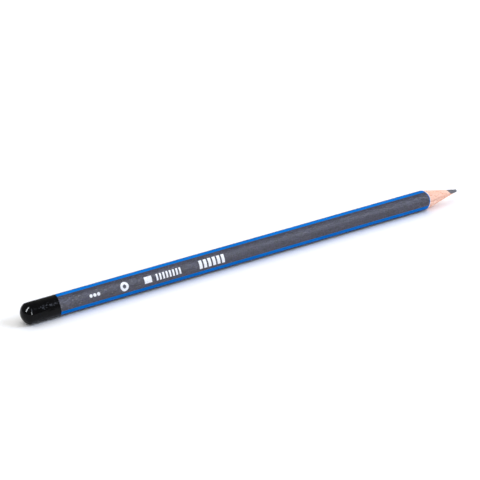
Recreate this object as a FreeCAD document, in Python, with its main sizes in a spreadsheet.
"""Soft-triangular graphite pencil, sharpened, with a dipped and rounded end.

The pencil lies along X with its point towards +X and one of its three faces on
the ground plane.  The origin is below the middle of its length.  Every piece is
drawn about the barrel's own axis, on the X axis, and is then lifted by its
Placement so that the lowest face meets Z = 0.  Lengths are in millimetres.
"""
import FreeCAD, Part
import math
import os
import Sketcher

doc = FreeCAD.newDocument("pencil")


# ---------------------------------------------------------------- dimensions
DRIVING = [
    # alias, value, what it sizes
    ("overall_length", 175.0, "point to rounded end"),
    ("face_distance", 3.32, "axis to the middle of a face, on the base lacquer"),
    ("corner_rise", 0.10, "a corner reaches this much further from the axis than a face"),
    ("corner_inset", 0.38, "the corners' radius is this much less than the face distance"),
    ("lacquer_thickness", 0.07, "blue base lacquer"),
    ("primer_thickness", 0.05, "pale primer under the lacquer"),
    ("panel_thickness", 0.07, "grey textured coat over the lacquer"),
    ("stripe_angle", 31.0, "angle at the axis over which the blue shows at a corner"),
    ("dip_length", 12.4, "end of the barrel to the edge of the black dip"),
    ("dip_thickness", 0.08, "black dip over the barrel"),
    ("dip_end_build", 0.35, "black dip where it runs together over the end"),
    ("dome_flare", 0.40, "the end's ball is this much larger in radius than a corner's reach"),
    ("core_diameter", 2.15, "graphite core"),
    ("core_lift", 0.22, "the core and the glue joint lie this far above the axis"),
    ("glue_thickness", 0.06, "glue between the slats and around the core"),
    ("cone_half_angle", 11.35, "half the angle of the sharpened point"),
    ("tip_radius", 0.42, "worn roundness of the point"),
    ("foil_thickness", 0.02, "white hot-stamped foil"),
    ("mark_drop", 0.30, "the row of marks lies this far below the middle of its face"),
    ("bold_mark_place", 56.6, "edge of the dip to the middle of the bold bars"),
    ("bold_mark_height", 2.7, "bold bars, across the face"),
    ("bold_bar_width", 1.15, "one bold bar, along the barrel"),
    ("bold_bar_pitch", 1.735, "bold bar to bold bar"),
    ("fine_mark_place", 39.85, "edge of the dip to the middle of the fine bars"),
    ("fine_mark_height", 2.1, "fine bars, across the face"),
    ("fine_bar_width", 0.70, "one fine bar, along the barrel"),
    ("fine_bar_pitch", 1.245, "fine bar to fine bar"),
    ("grade_mark_place", 32.05, "edge of the dip to the middle of the grade mark"),
    ("grade_mark_width", 2.75, "grade mark, along the barrel"),
    ("ring_mark_place", 23.2, "edge of the dip to the middle of the ring"),
    ("ring_diameter", 3.0, "ring, outside"),
    ("ring_hole", 1.3, "ring, inside"),
    ("dot_mark_place", 12.25, "edge of the dip to the middle of the three dots"),
    ("dot_diameter", 1.1, "one dot"),
    ("dot_pitch", 1.4, "dot to dot"),
]
BOLD_BARS = 6
FINE_BARS = 8
DOTS = 3
FACE_ANGLES = {"bottom": -90, "front": 150, "back": 30}
CORNER_ANGLES = (90, 210, 330)
MARGIN = 2.0

# How far each outline lies outside the base lacquer's own outline.
GROWTHS = [
    ("on_lacquer", "=0"),
    ("on_panel", "=panel_thickness"),
    ("on_foil", "=panel_thickness + foil_thickness"),
    ("on_dip", "=dip_thickness"),
    ("on_primer", "=-lacquer_thickness"),
    ("on_wood", "=-lacquer_thickness - primer_thickness"),
]

DERIVED = [
    ("corner_distance", "=face_distance + corner_rise"),
    ("corner_radius", "=face_distance - corner_inset"),
    ("corner_shift", "=corner_distance - corner_radius"),
    ("face_shift", "=(corner_shift^2 - corner_inset^2) / (2 * corner_inset - corner_shift)"),
    ("face_radius", "=face_distance + face_shift"),
    ("rest_height", "=face_distance + max(panel_thickness; dip_thickness)"),
    ("bore_radius", "=core_diameter / 2 + glue_thickness"),
    ("half_length", "=overall_length / 2"),
    ("barrel_start", "=-half_length"),
    ("dip_edge", "=dip_length - half_length"),
    ("dome_radius", "=corner_distance + dome_flare"),
    ("outer_dome", "=dome_radius - half_length"),
    ("inner_dome", "=dome_radius - half_length + dip_end_build"),
    ("tip_centre", "=half_length - tip_radius"),
    ("cone_apex", "=tip_centre + tip_radius / sin(cone_half_angle * 1 deg)"),
]

sheet = doc.addObject("Spreadsheet::Sheet", "Sizes")
for row, (alias, value, meaning) in enumerate(DRIVING, start=1):
    sheet.set(f"A{row}", alias)
    sheet.set(f"B{row}", str(value))
    sheet.set(f"C{row}", meaning)
    sheet.setAlias(f"B{row}", alias)
for row, (alias, formula) in enumerate(GROWTHS + DERIVED, start=len(DRIVING) + 2):
    sheet.set(f"A{row}", alias)
    sheet.set(f"B{row}", formula)
    sheet.setAlias(f"B{row}", alias)
doc.recompute()


def size(alias):
    """Present value of a cell, for the first drawing of a sketch."""
    return float(sheet.get(alias))


# ------------------------------------------------------------ sketch helpers
def origin_plane(body, role):
    """The body's own origin plane, such as YZ_Plane."""
    for feature in body.Origin.OriginFeatures:
        if feature.Role == role:
            return feature
    raise ValueError(role)


def new_sketch(body, role, name):
    """An empty sketch on one of the body's origin planes."""
    sketch = body.newObject("Sketcher::SketchObject", f"{body.Name}_{name}")
    sketch.AttachmentSupport = [(origin_plane(body, role), "")]
    sketch.MapMode = "FlatFace"
    return sketch


def drive(sketch, constraint, expression):
    """Adds a dimension to a sketch and ties it to the sheet."""
    index = sketch.addConstraint(constraint)
    name = f"size{index}"
    sketch.renameConstraint(index, name)
    sketch.setExpression(f"Constraints.{name}", expression)


def place_point(sketch, geometry, point, across, along):
    """Fixes a point of a sketch at signed distances from the sketch's origin."""
    where = sketch.getPoint(geometry, point)
    drive(sketch, Sketcher.Constraint("DistanceX", -1, 1, geometry, point, where.x), across)
    drive(sketch, Sketcher.Constraint("DistanceY", -1, 1, geometry, point, where.y), along)


def draw_soft_triangle(sketch, growth):
    """Three shallow face arcs joined by three corner arcs, all of them tangent.

    growth is the cell that says how far the outline lies outside the base lacquer.
    """
    grow = size(growth)
    corner_shift = size("corner_shift")
    corner_radius = size("corner_radius") + grow
    face_radius = size("face_radius") + grow
    centres = [at_angle(turn, corner_shift) for turn in CORNER_ANGLES]
    # The face between two corners is an arc about a point on the third corner's side.
    face_centres = [at_angle(CORNER_ANGLES[k - 1], size("face_shift")) for k in range(3)]
    arcs = []
    for k, turn in enumerate(CORNER_ANGLES):
        here = centres[k]
        after = centres[(k + 1) % 3]
        start = direction(here - face_centres[k - 1])
        middle = direction(here - face_centres[k])
        end = direction(after - face_centres[k])
        corner = add_arc(sketch, here, corner_radius, start, middle)
        face = add_arc(sketch, face_centres[k], face_radius, middle, end)
        arcs += [corner, face]
        place_point(sketch, corner, 3, f"Sizes.corner_shift * cos({turn} deg)",
                    f"Sizes.corner_shift * sin({turn} deg)")
        drive(sketch, Sketcher.Constraint("Radius", corner, corner_radius),
              f"Sizes.corner_radius + Sizes.{growth}")
        drive(sketch, Sketcher.Constraint("Radius", face, face_radius),
              f"Sizes.face_radius + Sizes.{growth}")
    for first, second in zip(arcs, arcs[1:] + arcs[:1]):
        sketch.addConstraint(Sketcher.Constraint("Tangent", first, 2, second, 1))


def at_angle(degrees, distance):
    """The point of a sketch at a polar angle and a distance from its origin."""
    turn = math.radians(degrees)
    return FreeCAD.Vector(distance * math.cos(turn), distance * math.sin(turn), 0)


def direction(vector):
    """Polar angle of a vector in the sketch plane."""
    return math.atan2(vector.y, vector.x)


def add_arc(sketch, centre, radius, start, end):
    """An arc drawn anticlockwise from one polar angle to another; returns its id."""
    while end < start:
        end += 2 * math.pi
    circle = Part.Circle(centre, FreeCAD.Vector(0, 0, 1), radius)
    return sketch.addGeometry(Part.ArcOfCircle(circle, start, end), False)


def add_chain(sketch, points):
    """Straight edges through the points, joined end to end; returns their ids."""
    ids = []
    for first, second in zip(points, points[1:]):
        line = Part.LineSegment(FreeCAD.Vector(*first, 0), FreeCAD.Vector(*second, 0))
        ids.append(sketch.addGeometry(line, False))
    for first, second in zip(ids, ids[1:]):
        sketch.addConstraint(Sketcher.Constraint("Coincident", first, 2, second, 1))
    return ids


def draw_circle(sketch, radius, centre_height):
    """A circle whose centre lies straight above the barrel's axis."""
    where = FreeCAD.Vector(0, size(centre_height), 0)
    circle = Part.Circle(where, FreeCAD.Vector(0, 0, 1), 1.0)
    ring = sketch.addGeometry(circle, False)
    place_point(sketch, ring, 3, "0", f"Sizes.{centre_height}")
    drive(sketch, Sketcher.Constraint("Radius", ring, 1.0), radius)


def draw_rectangle(sketch, low, high):
    """A rectangle between two heights, as wide as the barrel and a margin."""
    reach = size("corner_distance") + MARGIN
    bottom, right, top, left = add_chain(
        sketch, [(-reach, -1), (reach, -1), (reach, 1), (-reach, 1), (-reach, -1)])
    sketch.addConstraint(Sketcher.Constraint("Coincident", left, 2, bottom, 1))
    sketch.addConstraint(Sketcher.Constraint("Horizontal", bottom))
    sketch.addConstraint(Sketcher.Constraint("Horizontal", top))
    sketch.addConstraint(Sketcher.Constraint("Vertical", right))
    sketch.addConstraint(Sketcher.Constraint("Vertical", left))
    side = f"Sizes.corner_distance + {MARGIN}"
    place_point(sketch, bottom, 1, f"-({side})", low)
    place_point(sketch, top, 1, side, high)


# ----------------------------------------------------------- feature helpers
def new_body(name):
    """An empty body lying about the barrel's axis."""
    return doc.addObject("PartDesign::Body", name)


def add_feature(body, kind, name, profile):
    """A solid feature of a body, made from a sketch."""
    feature = body.newObject(f"PartDesign::{kind}", f"{body.Name}_{name}")
    feature.Profile = profile
    return feature


def pad_along(body, name, draw, start="barrel_start", finish="half_length"):
    """Pushes what draw() outlines along the barrel, from one cell's place to another's."""
    sketch = new_sketch(body, "YZ_Plane", f"{name}_outline")
    sketch.setExpression("AttachmentOffset.Base.z", f"Sizes.{start}")
    draw(sketch)
    pad = add_feature(body, "Pad", name, sketch)
    pad.setExpression("Length", f"Sizes.{finish} - Sizes.{start}")


def pocket_along(body, name, draw):
    """Cuts what draw() outlines out of the body, past both of its ends."""
    sketch = new_sketch(body, "YZ_Plane", f"{name}_outline")
    draw(sketch)
    pocket = add_feature(body, "Pocket", name, sketch)
    pocket.SideType = "Symmetric"
    pocket.setExpression("Length", f"Sizes.overall_length + {MARGIN}")


def groove_about_axis(body, name, sketch):
    """Turns away what the sketch covers, all round the barrel's axis."""
    groove = add_feature(body, "Groove", name, sketch)
    groove.ReferenceAxis = (sketch, ["H_Axis"])
    groove.Angle = 360


def sharpen(body):
    """Cuts the body to the sharpener's cone and to the worn roundness of its point."""
    sketch = new_sketch(body, "XZ_Plane", "cone_outline")
    angle = math.radians(size("cone_half_angle"))
    centre = size("tip_centre")
    radius = size("tip_radius")
    end = size("half_length")
    clear = size("corner_distance") + MARGIN
    touch = (centre + radius * math.sin(angle), radius * math.cos(angle))
    rim = (size("cone_apex") - clear / math.tan(angle), clear)
    nose = add_arc(sketch, FreeCAD.Vector(centre, 0, 0), radius, 0, math.pi / 2 - angle)
    cone, top, front, axis = add_chain(
        sketch, [touch, rim, (end + MARGIN, clear), (end + MARGIN, 0), (end, 0)])
    place_point(sketch, nose, 3, "Sizes.tip_centre", "0")
    drive(sketch, Sketcher.Constraint("Radius", nose, radius), "Sizes.tip_radius")
    sketch.addConstraint(Sketcher.Constraint("Tangent", nose, 2, cone, 1))
    reach = f"(Sizes.corner_distance + {MARGIN})"
    place_point(sketch, cone, 2, f"Sizes.cone_apex - {reach} / tan(Sizes.cone_half_angle * 1 deg)", reach)
    drive(sketch, Sketcher.Constraint("DistanceX", -1, 1, front, 1, end + MARGIN),
          f"Sizes.half_length + {MARGIN}")
    sketch.addConstraint(Sketcher.Constraint("Horizontal", top))
    sketch.addConstraint(Sketcher.Constraint("Vertical", front))
    sketch.addConstraint(Sketcher.Constraint("PointOnObject", axis, 1, -1))
    sketch.addConstraint(Sketcher.Constraint("PointOnObject", axis, 2, -1))
    sketch.addConstraint(Sketcher.Constraint("Coincident", axis, 2, nose, 1))
    groove_about_axis(body, "cone", sketch)


def round_end(body, dome):
    """Rounds the end of the barrel to a ball whose centre is at the cell dome."""
    sketch = new_sketch(body, "XZ_Plane", "dome_outline")
    centre = size(dome)
    radius = size("dome_radius")
    start = size("barrel_start")
    ball = add_arc(sketch, FreeCAD.Vector(centre, 0, 0), radius, math.pi / 2, math.pi)
    axis, back, top, front = add_chain(
        sketch, [(centre - radius, 0), (start - MARGIN, 0), (start - MARGIN, radius + MARGIN),
                 (centre, radius + MARGIN), (centre, radius)])
    place_point(sketch, ball, 3, f"Sizes.{dome}", "0")
    drive(sketch, Sketcher.Constraint("Radius", ball, radius), "Sizes.dome_radius")
    place_point(sketch, top, 1, f"Sizes.barrel_start - {MARGIN}", f"Sizes.dome_radius + {MARGIN}")
    drive(sketch, Sketcher.Constraint("DistanceX", -1, 1, front, 1, centre), f"Sizes.{dome}")
    sketch.addConstraint(Sketcher.Constraint("Coincident", ball, 2, axis, 1))
    sketch.addConstraint(Sketcher.Constraint("Coincident", ball, 1, front, 2))
    sketch.addConstraint(Sketcher.Constraint("PointOnObject", axis, 1, -1))
    sketch.addConstraint(Sketcher.Constraint("PointOnObject", axis, 2, -1))
    sketch.addConstraint(Sketcher.Constraint("Vertical", back))
    sketch.addConstraint(Sketcher.Constraint("Horizontal", top))
    sketch.addConstraint(Sketcher.Constraint("Vertical", front))
    groove_about_axis(body, "dome", sketch)


def barrel_shape(body, growth, inner_growth=None, start="barrel_start"):
    """A length of the barrel's outline, hollow where an inner outline is named."""
    pad_along(body, "barrel", lambda sketch: draw_soft_triangle(sketch, growth), start)
    if inner_growth:
        pocket_along(body, "hollow", lambda sketch: draw_soft_triangle(sketch, inner_growth))


def boolean(kind, label, base, tool):
    """A Part::Cut or Part::Common of two objects."""
    result = doc.addObject(f"Part::{kind}", label)
    result.Base = base
    result.Tool = tool
    return result


nodes = []


def finish(piece, label):
    """Names a finished piece and lifts it so that the lowest face meets the ground."""
    piece.Label = label
    piece.setExpression("Placement.Base.z", "Sizes.rest_height")
    nodes.append(piece)


# ------------------------------------------------------------- graphite core
def make_core():
    """Fired graphite and clay rod, sharpened together with the wood."""
    core = new_body("core")
    pad_along(core, "rod", lambda sketch: draw_circle(sketch, "Sizes.core_diameter / 2", "core_lift"))
    sharpen(core)
    round_end(core, "inner_dome")
    finish(core, "graphite_core")


# ------------------------------------------------------------- wooden casing
def make_slat(label, low, high):
    """One of two grooved slats; low and high bound what its mate takes away."""
    slat = new_body(label)
    barrel_shape(slat, "on_wood")
    pocket_along(slat, "mating", lambda sketch: draw_rectangle(sketch, low, high))
    pocket_along(slat, "groove", lambda sketch: draw_circle(sketch, "Sizes.bore_radius", "core_lift"))
    sharpen(slat)
    round_end(slat, "inner_dome")
    finish(slat, label)


def make_glue():
    """The hardened glue: a film between the slats that also runs round the core."""
    blank = new_body("glue_blank")
    half_film = "Sizes.glue_thickness / 2"
    pad_along(blank, "film", lambda sketch: draw_rectangle(
        sketch, f"Sizes.core_lift - {half_film}", f"Sizes.core_lift + {half_film}"))
    pad_along(blank, "sleeve", lambda sketch: draw_circle(sketch, "Sizes.bore_radius", "core_lift"))
    pocket_along(blank, "core", lambda sketch: draw_circle(sketch, "Sizes.core_diameter / 2", "core_lift"))
    casing = new_body("casing")
    barrel_shape(casing, "on_wood")
    sharpen(casing)
    round_end(casing, "inner_dome")
    finish(boolean("Common", "glue", blank, casing), "glue_film")


# ------------------------------------------------------------- paint layers
def make_coat(label, growth, inner_growth):
    """A coat of paint all round the barrel, cut by the sharpener and the end's rounding."""
    coat = new_body(label)
    barrel_shape(coat, growth, inner_growth)
    sharpen(coat)
    round_end(coat, "inner_dome")
    finish(coat, label)


def make_panels():
    """Three coats over the faces, which leave the base lacquer bare at the corners."""
    sleeve = new_body("panel_sleeve")
    barrel_shape(sleeve, "on_panel", "on_lacquer", "dip_edge")
    sharpen(sleeve)
    for name, angle in FACE_ANGLES.items():
        sector = new_body(f"{name}_sector")
        pad_along(sector, "wedge", draw_face_sector, "dip_edge")
        sector.Placement.Rotation = FreeCAD.Rotation(FreeCAD.Vector(1, 0, 0), angle)
        finish(boolean("Common", f"{name}_panel", sleeve, sector), f"face_panel_{name}")


def draw_face_sector(sketch):
    """A triangle from the axis that covers one face between two stripes."""
    half = math.radians(60 - size("stripe_angle") / 2)
    reach = 2 * size("corner_distance")
    low, far, high = add_chain(
        sketch, [(0, 0), (reach, -reach * math.tan(half)), (reach, reach * math.tan(half)), (0, 0)])
    sketch.addConstraint(Sketcher.Constraint("Coincident", low, 1, -1, 1))
    sketch.addConstraint(Sketcher.Constraint("Coincident", high, 2, -1, 1))
    across = "2 * Sizes.corner_distance"
    slope = "tan((60 - Sizes.stripe_angle / 2) * 1 deg)"
    place_point(sketch, far, 1, across, f"-{across} * {slope}")
    place_point(sketch, far, 2, across, f"{across} * {slope}")


def make_dip():
    """Black paint that the finished end is dipped into, closed over the end."""
    blank = new_body("dip_blank")
    pad_along(blank, "barrel", lambda sketch: draw_soft_triangle(sketch, "on_dip"), finish="dip_edge")
    round_end(blank, "outer_dome")
    inside = new_body("dip_inside")
    barrel_shape(inside, "on_lacquer")
    round_end(inside, "inner_dome")
    finish(boolean("Cut", "dip", blank, inside), "end_dip_cap")


# ------------------------------------------------------------- printed marks
def mark_block(name, width, height, place):
    """A block standing on the middle of a face: width along the barrel, height across."""
    block = doc.addObject("Part::Box", name)
    block.setExpression("Length", width)
    block.setExpression("Width", height)
    block.setExpression("Height", "2 * Sizes.corner_distance")
    block.setExpression("Placement.Base.x", f"Sizes.dip_edge + {place} - {width} / 2")
    block.setExpression("Placement.Base.y", f"-{height} / 2 - Sizes.mark_drop")
    return block


def mark_disc(name, diameter, place):
    """A round block standing on the middle of a face."""
    disc = doc.addObject("Part::Cylinder", name)
    disc.setExpression("Radius", f"{diameter} / 2")
    disc.setExpression("Height", "2 * Sizes.corner_distance")
    disc.setExpression("Placement.Base.x", f"Sizes.dip_edge + {place}")
    disc.setExpression("Placement.Base.y", "-Sizes.mark_drop")
    return disc


def bar_row(name, count):
    """A row of equal bars along the barrel."""
    bars = []
    for k in range(count):
        place = f"Sizes.{name}_mark_place + {k - (count - 1) / 2} * Sizes.{name}_bar_pitch"
        bars.append(mark_block(f"{name}_bar_{k}", f"Sizes.{name}_bar_width",
                               f"Sizes.{name}_mark_height", place))
    return bars


def make_marks():
    """Foil marks on the front face, each a skin on the panel's own curve."""
    foil = new_body("foil_sleeve")
    barrel_shape(foil, "on_foil", "on_panel", "dip_edge")
    grade = mark_block("grade", "Sizes.grade_mark_width", "Sizes.fine_mark_height",
                       "Sizes.grade_mark_place")
    hole = mark_disc("ring_inside", "Sizes.ring_hole", "Sizes.ring_mark_place")
    disc = mark_disc("ring_outside", "Sizes.ring_diameter", "Sizes.ring_mark_place")
    dots = []
    for k in range(DOTS):
        place = f"Sizes.dot_mark_place + {k - (DOTS - 1) / 2} * Sizes.dot_pitch"
        dots.append(mark_disc(f"dot_{k}", "Sizes.dot_diameter", place))
    groups = {
        "foil_bold_bars": bar_row("bold", BOLD_BARS),
        "foil_fine_bars": bar_row("fine", FINE_BARS),
        "foil_grade_mark": [grade],
        "foil_ring": [boolean("Cut", "ring", disc, hole)],
        "foil_dots": dots,
    }
    for label, blocks in groups.items():
        group = doc.addObject("Part::Compound", f"{label}_blocks")
        group.Links = blocks
        group.Placement.Rotation = FreeCAD.Rotation(FreeCAD.Vector(1, 0, 0), FACE_ANGLES["front"] - 90)
        finish(boolean("Common", label, foil, group), label)


make_core()
half_film = "Sizes.glue_thickness / 2"
outside = f"Sizes.corner_distance + {MARGIN}"
make_slat("wood_slat_upper", f"-({outside})", f"Sizes.core_lift + {half_film}")
make_slat("wood_slat_lower", f"Sizes.core_lift - {half_film}", outside)
make_glue()
make_coat("primer_coat", "on_primer", "on_wood")
make_coat("base_lacquer", "on_lacquer", "on_primer")
make_panels()
make_dip()
make_marks()
doc.recompute()

# -------------------------------------------------------------- check, write
for thing in doc.Objects:
    if "Invalid" in thing.State or "Error" in thing.State:
        raise RuntimeError(f"{thing.Name} is {thing.State}")
os.makedirs("parts", exist_ok=True)
for piece in nodes:
    if piece.Shape.isNull() or not piece.Shape.isValid() or not piece.Shape.Solids:
        raise RuntimeError(f"{piece.Label} has no sound shape")
for piece in nodes:
    piece.Shape.exportStep(f"parts/{piece.Label}.step")
    box = piece.Shape.BoundBox
    print(f"{piece.Label:20s} solids {len(piece.Shape.Solids)} volume {piece.Shape.Volume:9.4f}"
          f"  X {box.XMin:.3f} {box.XMax:.3f}  Y {box.YMin:.3f} {box.YMax:.3f}"
          f"  Z {box.ZMin:.3f} {box.ZMax:.3f}")
